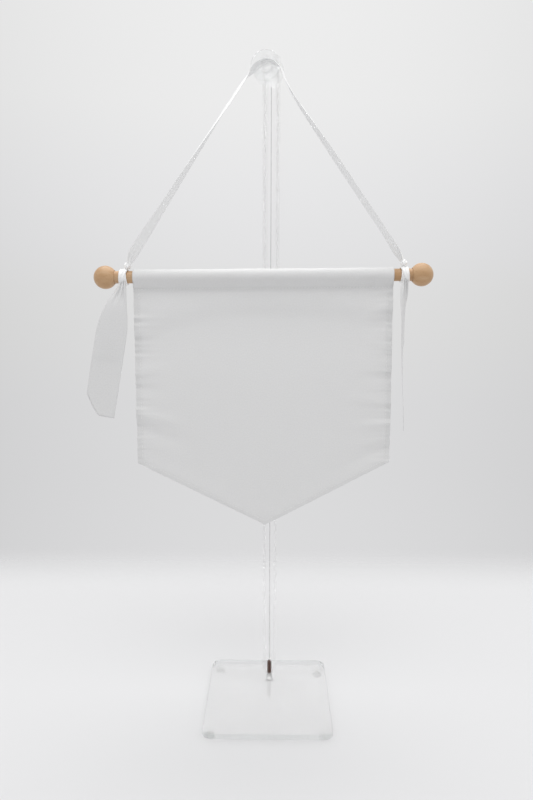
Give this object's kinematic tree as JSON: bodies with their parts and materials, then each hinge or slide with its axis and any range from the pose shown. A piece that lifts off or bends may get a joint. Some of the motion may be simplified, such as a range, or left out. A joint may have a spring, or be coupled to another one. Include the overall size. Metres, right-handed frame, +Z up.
{
  "type": "pennant banner on clear display stand",
  "caption": "White satin pennant with a pointed lower edge on a ball-ended beech dowel, hung by a tied ribbon from the peg of a clear display stand on a flat base.",
  "frame": {"origin": "on the surface it stands on, under the middle of its bounding box", "axes": "+Z up along the post, +X to the viewer's right along the dowel, -Y towards the viewer"},
  "size_m": [0.2814, 0.119, 0.53],
  "materials": {
    "clear_acrylic": "clear, polished",
    "soft_bumper": "clear, soft",
    "dark_steel": "dark, threaded",
    "beech": "bare, sanded",
    "white_satin_cloth": "soft satin",
    "white_satin_ribbon": "satin"
  },
  "bodies": {
    "root": {"base_plate": "clear_acrylic", "post_rod": "clear_acrylic", "post_sleeve": "clear_acrylic", "post_plug": "clear_acrylic", "hanging_peg": "clear_acrylic", "foot_rear_left": "soft_bumper", "foot_rear_right": "soft_bumper", "foot_front_left": "soft_bumper", "foot_front_right": "soft_bumper", "stud_screw": "dark_steel", "dowel": "beech", "ball_left": "beech", "ball_right": "beech", "pennant_cloth": "white_satin_cloth", "ribbon": "white_satin_ribbon"}
  },
  "joints": []
}
